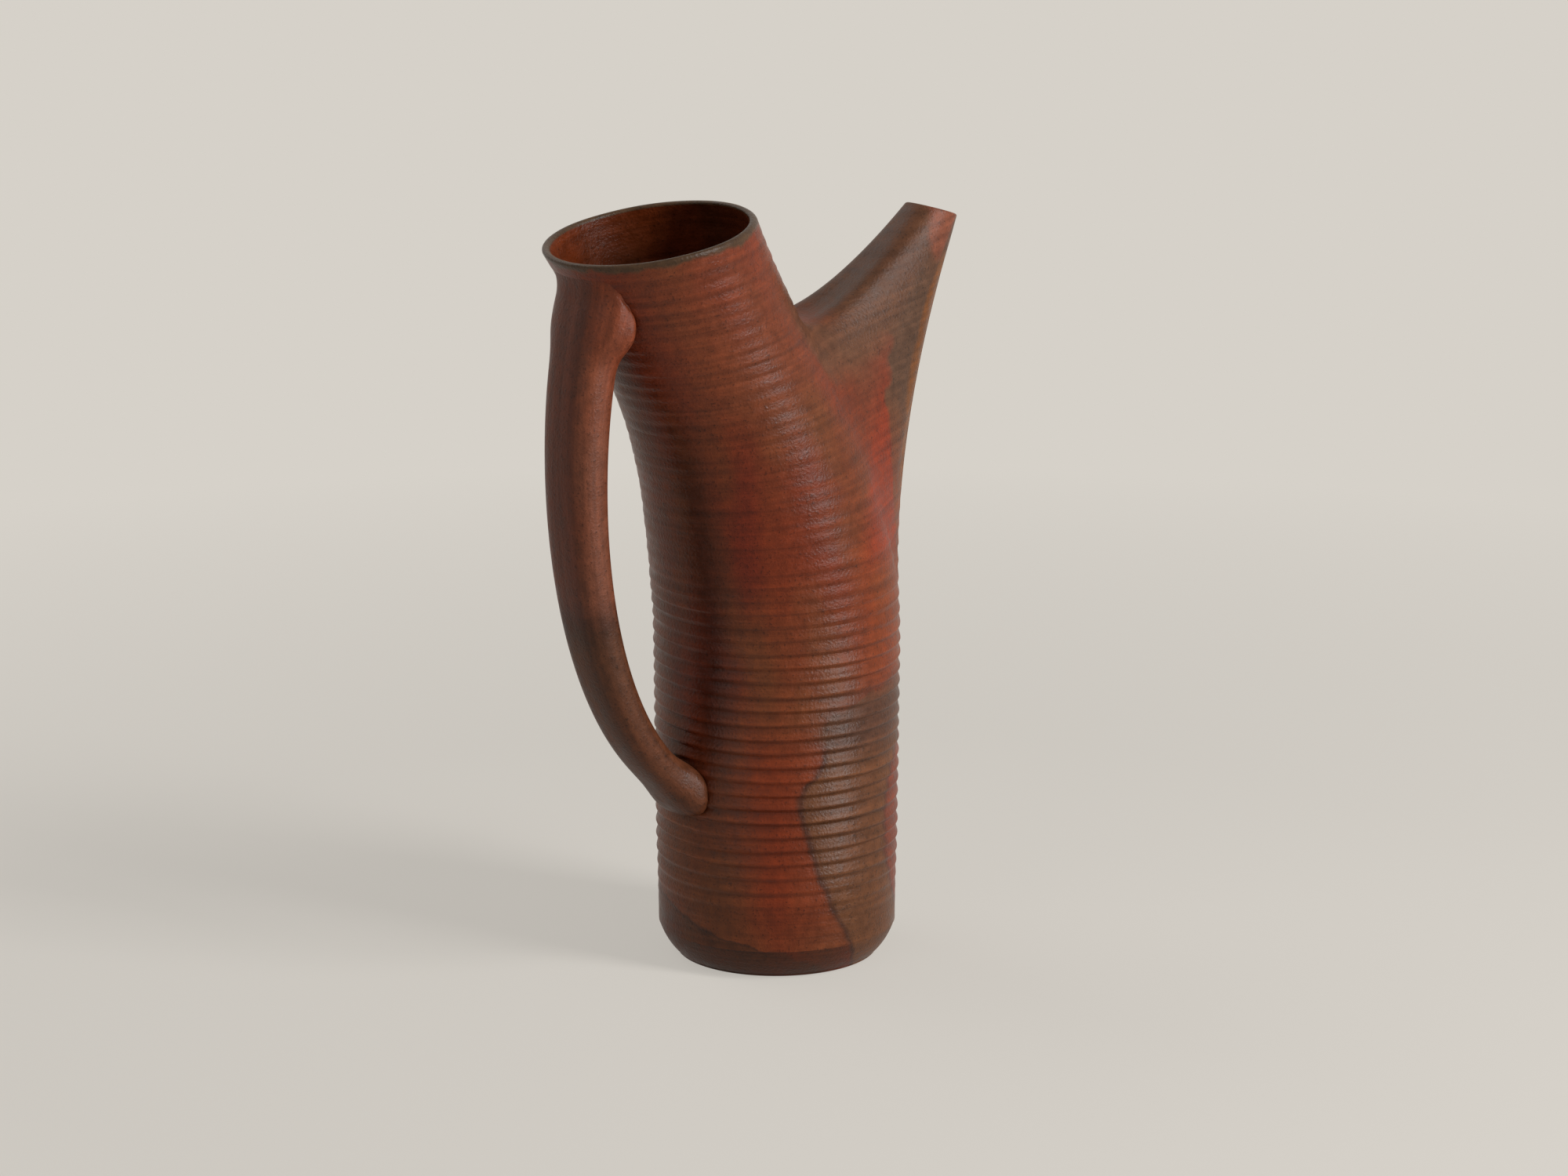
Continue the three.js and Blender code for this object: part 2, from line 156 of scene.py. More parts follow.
def fired_clay(name, tones, flashes_and_painted_light, streak, roughness, own_flashes_and_painted_light=()):
    """Unglazed wood-fired stoneware. The flame flashes it from brown to red and smokes it dark, fly ash
    gives it a thin satin sheen, and its grog and iron show as a fine pebbly grain with dark specks."""
    material = bpy.data.materials.new(name)
    material.use_nodes = True
    tree = material.node_tree
    tree.nodes.clear()
    solid = node(tree, "ShaderNodeTexCoord").outputs["Object"]
    worked = node(tree, "ShaderNodeAttribute", attribute_name="worked").outputs["Vector"]
    inside = node(tree, "ShaderNodeAttribute", attribute_name="inside").outputs["Fac"]
    ring = node(tree, "ShaderNodeAttribute", attribute_name="ring").outputs["Fac"]

    # Slow change from brown to red up the flame's path
    rising = node(tree, "ShaderNodeVectorMath", worked, (1.0, 1.0, FLAME_STRETCH), operation="MULTIPLY")
    flame = node(tree, "ShaderNodeTexNoise", at={"Vector": rising, "Scale": 1 / FLAME_PATCH, "Detail": 3.0})
    warmth = node(tree, "ShaderNodeMapRange", flame, *WARM_SPAN, 0.0, 1.0, interpolation_type="SMOOTHSTEP")
    clay = node(
        tree, "ShaderNodeMix", data_type="RGBA",
        at={0: warmth, MIX_A: srgb(tones["brown"]), MIX_B: srgb(tones["red"])})

    # Flashes, and the painted shade and painted reflection listed with them, by their angle from the front
    # in turns and their height as a share of the jug, unevenly edged.
    # An edge is one angle in degrees, or a line through points of a height in mm and an angle.
    wisp = node(tree, "ShaderNodeTexNoise", at={"Vector": solid, "Scale": 1 / WISP, "Detail": 5.0})
    drift = node(tree, "ShaderNodeSeparateColor", wisp.outputs["Color"]).outputs
    for space, patches in (("own", own_flashes_and_painted_light), ("worked", flashes_and_painted_light)):
        place = node(tree, "ShaderNodeAttribute", attribute_name=space).outputs["Vector"]
        faced = node(tree, "ShaderNodeVectorRotate", place, at={"Angle": FRONT}, rotation_type="Z_AXIS")
        split = node(tree, "ShaderNodeSeparateXYZ", faced).outputs
        angle = node(tree, "ShaderNodeMath", split["Y"], split["X"], operation="ARCTAN2")
        turn = node(tree, "ShaderNodeMath", angle, 1 / math.tau, 0.5, operation="MULTIPLY_ADD")
        share = node(tree, "ShaderNodeMath", split["Z"], 1 / RIM, operation="MULTIPLY")
        swayed = node(tree, "ShaderNodeMath", drift[0], -0.5, operation="ADD")
        around = node(tree, "ShaderNodeMath", swayed, EDGE_SWAY, turn, operation="MULTIPLY_ADD")
        raised = node(tree, "ShaderNodeMath", drift[1], -0.5, operation="ADD")
        along = node(tree, "ShaderNodeMath", raised, EDGE_RISE, share, operation="MULTIPLY_ADD")
        for patch in patches:
            half = patch.get("line", 0) / 360 / 2
            sides = []
            for edge, shift in ((patch["left"], -half), (patch["right"], half)):
                if isinstance(edge, list):
                    line = node(tree, "ShaderNodeFloatCurve", 1.0, along)
                    curve = line.mapping.curves[0]
                    ends = curve.points[0], curve.points[-1]
                    for point, (height, bearing) in zip(ends, (edge[0], edge[-1])):
                        point.location = height / 1000 / RIM, 0.5 + bearing / 360
                    for height, bearing in edge[1:-1]:
                        curve.points.new(height / 1000 / RIM, 0.5 + bearing / 360)
                    line.mapping.extend = "HORIZONTAL"
                    line.mapping.update()
                    edge = node(tree, "ShaderNodeMath", line, shift, operation="ADD") if half else line
                else:
                    edge = 0.5 + edge / 360
                sides.append(edge)
            blur = np.broadcast_to(patch["edge"], 2) / 360
            clay = node(tree, "ShaderNodeGroup", node_tree=FLASH_AND_PAINTED_LIGHT, at={
                "Clay": clay, "Flash and painted light": srgb(patch["colour"]), "Strength": patch.get("strength", 1.0),
                "Around": around, "Along": along, "Left": sides[0], "Left edge": float(blur[0]),
                "Right": sides[1], "Right edge": float(blur[1]), "Low": patch["low"] / 1000 / RIM,
                "High": patch["high"] / 1000 / RIM, "Fade": patch["fade"] / 1000 / RIM})
    hidden = node(
        tree, "ShaderNodeMix", data_type="RGBA",
        at={0: warmth, MIX_A: srgb(tones["inside"]), MIX_B: srgb(tones["inside red"])})
    clay = node(tree, "ShaderNodeMix", at={0: inside, MIX_A: clay, MIX_B: hidden}, data_type="RGBA")

    # Streaks that the working of the clay left, mottling, painted shade in the rings' troughs and painted
    # highlight on their crests, and dark iron specks
    drawn = node(tree, "ShaderNodeVectorMath", worked, streak, operation="DIVIDE")
    lines = node(tree, "ShaderNodeTexNoise", at={"Vector": drawn, "Scale": 1.0, "Detail": 3.0})
    mottle = node(tree, "ShaderNodeTexNoise", at={"Vector": solid, "Scale": 1 / MOTTLE, "Detail": 4.0})
    lined = node(tree, "ShaderNodeMapRange", lines, *NOISE_SPAN, *STREAK_TONE)
    mottled = node(tree, "ShaderNodeMapRange", mottle, *NOISE_SPAN, *MOTTLE_TONE)
    ring_shade_and_highlight = node(tree, "ShaderNodeMapRange", ring, -1.0, 1.0, *RING_SHADE_AND_HIGHLIGHT)
    level = node(tree, "ShaderNodeMath", lined, mottled, operation="MULTIPLY")
    level = node(tree, "ShaderNodeMath", level, ring_shade_and_highlight, operation="MULTIPLY")
    grit = node(tree, "ShaderNodeTexNoise", at={"Vector": solid, "Scale": 1 / GRIT, "Detail": 2.0})
    specks = node(tree, "ShaderNodeMapRange", grit, *SPECK_SPAN, *SPECK_TONE)
    level = node(tree, "ShaderNodeMath", level, specks, operation="MULTIPLY")
    colour = node(tree, "ShaderNodeVectorMath", clay, at={"Scale": level}, operation="SCALE")

    # Pebbly grain and drawn lines as relief, with the sheen broken by the mottling
    grain = node(tree, "ShaderNodeBump", at={"Strength": 0.8, "Distance": GRIT_HEIGHT, "Height": grit})
    relief = node(tree, "ShaderNodeBump", at={
        "Strength": 0.5, "Distance": STREAK_HEIGHT, "Height": lines, "Normal": grain})
    sheen = [roughness + spread for spread in SHEEN_SPREAD]
    rough = node(tree, "ShaderNodeMapRange", mottle, *NOISE_SPAN, *sheen)
    surface = node(tree, "ShaderNodeBsdfPrincipled", at={
        "Base Color": colour, "Roughness": rough, "Normal": relief, "Specular IOR Level": 0.2, "IOR": 1.5})
    node(tree, "ShaderNodeOutputMaterial", surface)
    return material


def out_of_round(angle, along):
    """How far a hand-thrown wall falls short of a true circle."""
    swing = np.cos(2 * angle - 0.9 + along / 0.11) + 0.6 * np.cos(3 * angle + 2.1 - along / 0.16)
    return OUT_OF_ROUND * (swing / 1.6 - 1) / 2


def loft(rows, columns, closes=False):
    """Faces that join each row of points to the next, and the last row to the first where it closes."""
    row = np.arange(rows if closes else rows - 1)[:, None] * columns
    side = np.arange(columns)
    beside = (side + 1) % columns
    after = (row + columns) % (rows * columns)
    return np.stack([row + side, row + beside, after + beside, after + side], -1).reshape(-1, 4).tolist()


def clay_piece(name, points, faces, **fields):
    """A closed piece of clay with its faces turned out, and values at its points for each named field."""
    mesh = bpy.data.meshes.new(name)
    mesh.from_pydata(points.tolist(), [], faces, shade_flat=False)
    turned = bmesh.new()
    turned.from_mesh(mesh)
    bmesh.ops.recalc_face_normals(turned, faces=turned.faces)
    turned.to_mesh(mesh)
    turned.free()
    for field, values in fields.items():
        kind, slot = ("FLOAT_VECTOR", "vector") if np.ndim(values) == 2 else ("FLOAT", "value")
        mesh.attributes.new(field, kind, "POINT").data.foreach_set(slot, np.ravel(values).astype(np.float32))
    made = bpy.data.objects.new(name, mesh)
    bpy.context.scene.collection.objects.link(made)
    return made


def bend(start, control, end, count):
    """Points of a quadratic curve, ends included."""
    share = np.linspace(0, 1, count)[:, None]
    middle = 2 * share * (1 - share) * np.array(control)
    return (1 - share) ** 2 * np.array(start) + middle + share ** 2 * np.array(end)


round_foot = np.arange(COLUMNS) * math.tau / COLUMNS
floor_inside = BODY_RADIUS - WALL
foot_turn = np.linspace(-math.pi / 2, 0, FOOT_EDGE_ROWS)[:, None]
foot_edge = np.hstack([
    FOOT_RADIUS - FOOT_EDGE + FOOT_EDGE * np.cos(foot_turn), FOOT_EDGE + FOOT_EDGE * np.sin(foot_turn)])
bevel_middle = (FOOT_RADIUS + BODY_RADIUS) / 2 + BEVEL_BULGE, BEVEL_TOP / 2 - BEVEL_BULGE
bevel = bend((FOOT_RADIUS, FOOT_EDGE), bevel_middle, (BODY_RADIUS, BEVEL_TOP), BEVEL_ROWS)[1:]
cove = bend(
    (floor_inside, BEVEL_TOP), (floor_inside, FLOOR_THICKNESS),
    (floor_inside - FLOOR_COVE, FLOOR_THICKNESS), COVE_ROWS)
eye = np.linspace(floor_inside - FLOOR_COVE, FLOOR_EYE, EYE_ROWS)[1:]
eye_rise = FLOOR_RING_HEIGHT * (1 - np.cos(math.tau * (eye - eye[0]) / FLOOR_RING_PITCH)) / 2
profile = np.vstack([foot_edge, bevel, cove, np.column_stack([eye, FLOOR_THICKNESS + eye_rise])])
shrunk = out_of_round(round_foot, BEVEL_TOP)[None, :] * (profile[:, :1] / BODY_RADIUS)
radius = profile[:, :1] + shrunk
foot_points = np.stack([
    radius * np.cos(round_foot), radius * np.sin(round_foot), np.repeat(profile[:, 1:], COLUMNS, 1)], -1)
foot_rows = len(profile)
foot_faces = loft(foot_rows, COLUMNS)
foot_faces.append(list(range(COLUMNS)))
foot_faces.append(list(range((foot_rows - 1) * COLUMNS, foot_rows * COLUMNS)))
hollow_from = len(foot_edge) + len(bevel)

# Flame marks that run from the wall down over the foot, by heights in mm and angles from the front
ASH_LINE = [
    (0, 47), (13, 38), (34, 26), (58, 16.5), (80, 12), (88, 19), (97, 24), (108, 22), (115, 34), (122, 62)]
STRIP_LINE = [(12, 92), (20, 84), (35, 70.5), (50, 64.5), (74, 65.5), (86, 72), (100, 96)]
SOOT_LINE = [(0, 30), (14, -6), (16, -26), (19, -38), (23.5, -51), (30, -78)]
foot_flashes = [
    dict(left=-14, right=30, edge=14, low=16, high=104, fade=14, colour="6e280e", strength=0.6),
    dict(left=ASH_LINE, right=STRIP_LINE, edge=2.5, low=-40, high=121, fade=4,
         colour="5c3820", strength=0.9),
    dict(left=ASH_LINE, right=ASH_LINE, line=2, edge=2, low=-10, high=99, fade=5,
         colour="281a15", strength=0.8),
    dict(left=STRIP_LINE, right=118, edge=2.5, low=12, high=92, fade=9, colour="6a2c17", strength=0.65),
    dict(left=STRIP_LINE, right=STRIP_LINE, line=2, edge=2.5, low=10, high=92, fade=5,
         colour="2c1d17", strength=0.7),
    dict(left=-150, right=SOOT_LINE, edge=4, low=-20, high=30, fade=5, colour="3c2416", strength=0.6),
    dict(left=SOOT_LINE, right=SOOT_LINE, line=5, edge=4, low=13, high=31, fade=3,
         colour="271a16", strength=0.7),
]
# The foot's tones are darker than the wall's: painted shade, since its bevel faces down and gets less light
foot_tones_with_painted_shade = {"brown": "4a2412", "red": "5c220e", "inside": "4c2817", "inside red": "602a14"}
turning = 0.05, 0.05, 0.0012
# Trimmed stoneware: fine turning lines and a duller skin, with tones darkened as painted shade because the
# bevel faces down
foot_clay = fired_clay("Trimmed stoneware foot", foot_tones_with_painted_shade, foot_flashes[1:], turning, roughness=0.45)
foot = clay_piece(
    "jug_base_floor", foot_points.reshape(-1, 3), foot_faces, worked=foot_points.reshape(-1, 3),
    inside=np.repeat(np.arange(foot_rows) > hollow_from, COLUMNS))
foot.data.materials.append(foot_clay)
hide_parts("base_floor")
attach(foot, "root")

# Lower body
# The straight cylinder of the thrown wall. The fingers rose a little at each turn of the wheel
# and left strong rings, each with a gentle top and a steep underside.
SHOULDER_RADIUS = 0.0516
NECK_RADIUS = 0.0422
RIM_FLARE = 0.0016
FLARE_START = 0.290
FLARE_LENGTH = 0.038
RIM_WALL = 0.0032
JOINT = 0.121
LEAN_START = 0.135
LEAN_LENGTH = 0.118
LEAN_END = LEAN_START + LEAN_LENGTH
TAPER_START = 0.156
TAPER_END = 0.281
LEAN = math.radians(29.6)
RIM_TILT = math.radians(10.2)
ROW_STEP = 0.00045
INNER_STEP = 0.005
AXIS_ENDS = -0.02, 0.42
HALVINGS = 40
WANDER_SPREAD = 0.06, 0.06, 0.018
MARK_SPREAD = 0.09, 0.09, 0.0045
WEAK_RING = 0.6
FAINT_MARK = 0.25


def smooth(value, low, high):
    """Rises softly from 0 at low to 1 at high."""
    share = np.clip((value - low) / (high - low), 0, 1)
    return share * share * (3 - 2 * share)


def axis(along):
    """Point of the leaning axis at a height along it, and how far the wall's section is tipped there."""
    bend_radius = LEAN_LENGTH / LEAN
    turned = np.clip((along - LEAN_START) / LEAN_LENGTH, 0, 1) * LEAN
    past = np.maximum(along - LEAN_END, 0)
    across = -(bend_radius * (1 - np.cos(turned)) + past * np.sin(turned))
    height = np.minimum(along, LEAN_START) + bend_radius * np.sin(turned) + past * np.cos(turned)
    return across, height, turned * RIM_TILT / LEAN


def tube_radius(along):
    """Radius of the wall before its rings and its unevenness."""
    body = BODY_RADIUS + (SHOULDER_RADIUS - BODY_RADIUS) * np.clip(along / TAPER_START, 0, 1)
    taper = (NECK_RADIUS - SHOULDER_RADIUS) * smooth(along, TAPER_START, TAPER_END)
    flare = np.maximum((along - FLARE_START) / FLARE_LENGTH, 0)
    return body + taper + RIM_FLARE * flare ** 2


def wall_at(along):
    """Thickness of the wall, which thins out towards the lip."""
    return WALL + (RIM_WALL - WALL) * smooth(along, FLARE_START, RIM)


def outwards(along, angle):
    """Direction out of the wall at a height along the axis and an angle round it."""
    tilt = axis(along)[2]
    parts = np.cos(angle) * np.cos(tilt), np.sin(angle) + 0 * tilt, np.cos(angle) * np.sin(tilt)
    return np.stack(parts, -1)


def on_tube(along, angle, offset=0.0):
    """Point of the leaning wall at a height and an angle, moved outwards by offset."""
    along, angle = np.broadcast_arrays(np.asarray(along, float), np.asarray(angle, float))
    across, height, _ = axis(along)
    radius = tube_radius(along) + out_of_round(angle, along) + offset
    middle = np.stack([across, 0 * across, height], -1)
    return middle + outwards(along, angle) * radius[..., None]


def on_wheel(points):
    """Where points were while the wall stood upright on the wheel: across, sideways and along the axis."""
    low, high = (np.full(len(points), end) for end in AXIS_ENDS)
    for _ in range(HALVINGS):
        along = (low + high) / 2
        across, height, tilt = axis(along)
        above = (points[:, 2] - height) * np.cos(tilt) - (points[:, 0] - across) * np.sin(tilt) > 0
        low, high = np.where(above, along, low), np.where(above, high, along)
    reach = (points[:, 0] - across) * np.cos(tilt) + (points[:, 2] - height) * np.sin(tilt)
    return np.column_stack([reach, points[:, 1], along])


# Tree that raises the rings on the outside of the wall and scores it with finer finger marks
RINGS = bpy.data.node_groups.new("Throwing rings", "GeometryNodeTree")
RINGS.is_modifier = True
RINGS.interface.new_socket("Clay", in_out="INPUT", socket_type="NodeSocketGeometry")
RINGS.interface.new_socket("Clay", in_out="OUTPUT", socket_type="NodeSocketGeometry")
ring_sizes = {
    "Pitch": 0.006, "Depth": 0.00135, "First crest": 0.0268, "Rise from": 0.017, "Rise to": 0.056,
    "Fade from": 0.112, "Fade to": 0.190, "Left over": 0.22, "Skew": 0.62, "Wander": 0.0022,
    "Mark depth": 0.00028, "Mark from": 0.090, "Mark to": 0.150,
}
ring_sockets = {
    name: RINGS.interface.new_socket(name, in_out="INPUT", socket_type="NodeSocketFloat").identifier
    for name in ring_sizes}
finish_socket = RINGS.interface.new_socket(
    "Finish", in_out="INPUT", socket_type="NodeSocketMaterial").identifier
size = node(RINGS, "NodeGroupInput").outputs
spun = node(RINGS, "GeometryNodeInputNamedAttribute", "worked", data_type="FLOAT_VECTOR")
outward = node(RINGS, "GeometryNodeInputNamedAttribute", "out", data_type="FLOAT_VECTOR")
skin = node(RINGS, "GeometryNodeInputNamedAttribute", "skin", data_type="FLOAT")
spun_along = node(RINGS, "ShaderNodeSeparateXYZ", spun).outputs["Z"]
slow = node(RINGS, "ShaderNodeVectorMath", spun, WANDER_SPREAD, operation="DIVIDE")
uneven = node(RINGS, "ShaderNodeTexNoise", at={"Vector": slow, "Scale": 1.0, "Detail": 1.0})
strayed = node(RINGS, "ShaderNodeMath", uneven, -0.5, operation="ADD")
strayed = node(RINGS, "ShaderNodeMath", strayed, size["Wander"], spun_along, operation="MULTIPLY_ADD")
phase = node(RINGS, "ShaderNodeMath", strayed, size["First crest"], operation="SUBTRACT")
phase = node(RINGS, "ShaderNodeMath", phase, size["Pitch"], operation="DIVIDE")
phase = node(RINGS, "ShaderNodeMath", phase, math.tau, 1.0, operation="MULTIPLY_ADD")
lag = node(RINGS, "ShaderNodeMath", phase, operation="SINE")
skewed = node(RINGS, "ShaderNodeMath", lag, size["Skew"], phase, operation="MULTIPLY_ADD")
crest = node(RINGS, "ShaderNodeMath", skewed, operation="SINE")
for share in (
    node(RINGS, "ShaderNodeMapRange", spun_along, size["Rise from"], size["Rise to"], 0.0, 1.0,
         interpolation_type="SMOOTHSTEP"),
    node(RINGS, "ShaderNodeMapRange", spun_along, size["Fade from"], size["Fade to"], 1.0, size["Left over"],
         interpolation_type="SMOOTHSTEP"),
    node(RINGS, "ShaderNodeMapRange", uneven.outputs["Color"], *NOISE_SPAN, 1.0, WEAK_RING),
):
    crest = node(RINGS, "ShaderNodeMath", crest, share, operation="MULTIPLY")
fine = node(RINGS, "ShaderNodeVectorMath", spun, MARK_SPREAD, operation="DIVIDE")
mark = node(RINGS, "ShaderNodeTexNoise", at={"Vector": fine, "Scale": 1.0, "Detail": 2.0})
mark = node(RINGS, "ShaderNodeMapRange", mark, *NOISE_SPAN, -1.0, 0.0)
marked = node(
    RINGS, "ShaderNodeMapRange", spun_along, size["Mark from"], size["Mark to"], FAINT_MARK, 1.0)
marked = node(RINGS, "ShaderNodeMath", marked, size["Mark depth"], operation="MULTIPLY")
marked = node(RINGS, "ShaderNodeMath", marked, mark, operation="MULTIPLY")
half_depth = node(RINGS, "ShaderNodeMath", size["Depth"], 0.5, operation="MULTIPLY")
raised = node(RINGS, "ShaderNodeMath", crest, half_depth, marked, operation="MULTIPLY_ADD")
raised = node(RINGS, "ShaderNodeMath", raised, skin, operation="MULTIPLY")
shift = node(RINGS, "ShaderNodeVectorMath", outward, at={"Scale": raised}, operation="SCALE")
moved = node(RINGS, "GeometryNodeSetPosition", size["Clay"], at={"Offset": shift})
# The height of each ring is kept, so that the clay paints shade in its trough and a highlight on its crest
tinted = node(
    RINGS, "GeometryNodeStoreNamedAttribute", moved, at={"Name": "ring", "Value": crest}, data_type="FLOAT")
whole = node(RINGS, "GeometryNodeRealizeInstances", tinted)
finished = node(RINGS, "GeometryNodeSetMaterial", whole, at={"Material": size["Finish"]})
node(RINGS, "NodeGroupOutput", finished)


def ringed(piece, finish):
    """Raises the rings on a piece and leaves it as a plain mesh."""
    turned = piece.modifiers.new("Throwing rings", "NODES")
    turned.node_group = RINGS
    for name, value in ring_sizes.items():
        turned[ring_sockets[name]] = value
    turned[finish_socket] = finish
    graph = bpy.context.evaluated_depsgraph_get()
    plain = bpy.data.meshes.new_from_object(
        piece.evaluated_get(graph), preserve_all_data_layers=True, depsgraph=graph)
    plain.name = piece.name
    piece.modifiers.clear()
    piece.data = plain


def evenly(start, end, step):
    """Values from start to end that are no further apart than a step."""
    return np.linspace(start, end, max(math.ceil(abs(end - start) / step), 1) + 1)


# Marks of the firing on the wall, in the same way, and a dark band down the left front that is partly
# painted shade
FLASH_LEFT = [
    (174, 50), (188, 58), (202, 70), (208, 80), (216, 89), (223, 98), (231, 103), (238, 108), (250, 114)]
FLASH_RIGHT = [
    (170, 94), (185, 97), (201, 101.4), (210, 103.5), (219, 106), (228, 108.4), (235, 111), (250, 116)]
SPOUT_EDGE = [(236, 92), (245, 85), (258, 81), (268, 77), (280, 77), (289, 80), (300, 86)]
RED_LEFT = [(160, -17), (190, -15), (226, -5), (250, 4)]
RED_RIGHT = [(160, -4), (190, -2), (226, 8), (250, 16)]
wall_flashes = foot_flashes + [
    dict(left=22, right=100, edge=12, low=96, high=121, fade=8, colour="3c2620", strength=0.5),
    # A dark band down the left front, where the wall turns from the key lamp: darker clay low down and
    # painted shade higher up
    dict(left=-38, right=-22, edge=10, low=84, high=236, fade=30, colour="2a1410", strength=0.6),
    dict(left=RED_LEFT, right=RED_RIGHT, edge=6, low=160, high=240, fade=22, colour="64200f", strength=0.7),
    dict(left=44, right=120, edge=12, low=126, high=188, fade=12, colour="78320f", strength=0.6),
    dict(left=FLASH_LEFT, right=FLASH_RIGHT, edge=(9, 0.9), low=172, high=250, fade=8,
         colour="7c2a12", strength=0.8),
    dict(left=SPOUT_EDGE, right=112, edge=(5, 6), low=246, high=296, fade=8, colour="5a3c29", strength=0.75),
    dict(left=-30, right=76, edge=24, low=250, high=324, fade=16, colour="6c301b", strength=0.5),
    dict(left=-200, right=200, edge=5, low=324.6, high=400, fade=1.2, colour="463321", strength=0.95),
]
wall_tones = {"brown": "64351b", "red": "6a2911", "inside": "4c2411", "inside red": "662a0e"}
throwing = 0.07, 0.07, 0.0022
# Thrown stoneware: rings and finger marks that catch a satin sheen, flashed from brown to red
body_clay = fired_clay("Thrown wood-fired stoneware", wall_tones, wall_flashes, throwing, roughness=0.35)
lower_outside = evenly(BEVEL_TOP, JOINT, ROW_STEP)
lower_inside = evenly(JOINT, BEVEL_TOP, INNER_STEP)
lower_along = np.concatenate([lower_outside, lower_inside])[:, None]
lower_deep = np.concatenate([0 * lower_outside, wall_at(lower_inside)])[:, None]
lower_points = on_tube(lower_along, round_foot[None], -lower_deep)
lower_rows = len(lower_along)
lower_skin = np.repeat(np.arange(lower_rows) < len(lower_outside), COLUMNS)
lower_body = clay_piece(
    "jug_lower_body", lower_points.reshape(-1, 3), loft(lower_rows, COLUMNS, closes=True),
    worked=on_wheel(lower_points.reshape(-1, 3)), inside=~lower_skin, skin=lower_skin,
    out=outwards(lower_along, round_foot[None]).reshape(-1, 3))
ringed(lower_body, body_clay)
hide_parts("lower_body")
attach(lower_body, "root")

# Upper body
# The same wall where it swells at the shoulder, narrows to the neck and ends in a thin rounded lip.
# The soft tube was pushed over away from the spout, and an oval hole was cut in its front for the spout.
ROOT_LOW = 0.130
ROOT_HIGH = 0.2745
ROOT_SPREAD = math.radians(54)
ROOT_BLUNTNESS = 0.42
ROOT_STEPS = 160
NECK_STEP = 0.0008
LIP_STEPS = 9
LIP_WAVE = 0.0005
LIP_EASE = 0.020
RING_STOP = 0.014, 0.003
lip = RIM_WALL / 2
lip_start = RIM - lip
root_middle = (ROOT_LOW + ROOT_HIGH) / 2
root_half = (ROOT_HIGH - ROOT_LOW) / 2


def root_breadth(rounds):
    """Share of the root's spread: an oval low down, and blunt at the saddle."""
    bluntness = np.where(np.cos(rounds) < 0, ROOT_BLUNTNESS, 1)
    return np.sign(np.sin(rounds)) * np.abs(np.sin(rounds)) ** bluntness


below_root = evenly(JOINT, ROOT_LOW, ROW_STEP)
root_rounds = np.linspace(0, math.pi, ROOT_STEPS + 1)
beside_root = root_middle - root_half * np.cos(root_rounds)
above_root = evenly(ROOT_HIGH, lip_start, NECK_STEP)
upper_along = np.concatenate([below_root[:-1], beside_root, above_root[1:]])
opened = np.zeros(len(upper_along))
first_root = len(below_root) - 1
opened[first_root:first_root + ROOT_STEPS + 1] = ROOT_SPREAD * root_breadth(root_rounds)
opened[[first_root, first_root + ROOT_STEPS]] = 0


def wavy(along, angle):
    """A lip that is not quite level, because it was left as the fingers made it."""
    wave = 1 - (np.cos(2 * angle + 0.7) + np.cos(3 * angle - 1.1) + 0.5 * np.cos(7 * angle)) / 2.5
    return along - LIP_WAVE * wave / 2 * smooth(along, RIM - LIP_EASE, RIM)


upper_points, upper_fields, upper_faces = [], [], []
corner = {}
for side, deep in enumerate((0 * upper_along, wall_at(upper_along))):
    for row, along in enumerate(upper_along):
        columns = COLUMNS + (1 if opened[row] > 0 else 0)
        share = np.arange(columns) / COLUMNS
        angle = opened[row] + (math.tau - 2 * opened[row]) * share
        start = sum(map(len, upper_points))
        corner[side, row] = [start + column % columns for column in range(COLUMNS + 1)]
        upper_points.append(on_tube(wavy(along, angle), angle, -deep[row]))
        upper_fields.append(np.column_stack([outwards(along, angle), np.full(columns, float(side == 0))]))
last_row = len(upper_along) - 1
lip_rows = [corner[0, last_row]]
for turned in np.linspace(0, math.pi, LIP_STEPS + 2)[1:-1]:
    start = sum(map(len, upper_points))
    along = lip_start + lip * math.sin(turned)
    level = on_tube(wavy(lip_start, round_foot), round_foot, lip * (math.cos(turned) - 1))
    over, rise = np.subtract(axis(wavy(along, round_foot))[:2], axis(wavy(lip_start, round_foot))[:2])
    upper_points.append(level + np.column_stack([over, 0 * round_foot, rise]))
    upper_fields.append(np.zeros((COLUMNS, 4)))
    lip_rows.append([start + column % COLUMNS for column in range(COLUMNS + 1)])
lip_rows.append(corner[1, last_row])
joined = [(corner[side, row], corner[side, row + 1]) for side in (0, 1) for row in range(last_row)]
joined += [*zip(lip_rows, lip_rows[1:]), (corner[1, 0], corner[0, 0])]
for under, over in joined:
    upper_faces += [
        [under[column], under[column + 1], over[column + 1], over[column]] for column in range(COLUMNS)]
root_rows = range(first_root, first_root + ROOT_STEPS + 1)
hole = [[corner[side, row][0] for row in root_rows] + [corner[side, row][-1] for row in root_rows[-2:0:-1]]
        for side in (0, 1)]
upper_faces += [
    [hole[0][step], hole[0][step - 1], hole[1][step - 1], hole[1][step]] for step in range(2 * ROOT_STEPS)]
upper_points = np.vstack(upper_points)
upper_fields = np.vstack(upper_fields)
upper_worked = on_wheel(upper_points)
upper_inside = np.zeros(len(upper_points))
upper_inside[corner[1, 0][0]:corner[1, last_row][-2] + 1] = 1
ring_share = 1 - smooth(upper_worked[:, 2], RIM - RING_STOP[0], RIM - RING_STOP[1])
upper_body = clay_piece(
    "jug_upper_body", upper_points, upper_faces, worked=upper_worked, inside=upper_inside,
    out=upper_fields[:, :3], skin=upper_fields[:, 3] * ring_share)
ringed(upper_body, body_clay)
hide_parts("upper_body")
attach(upper_body, "root")

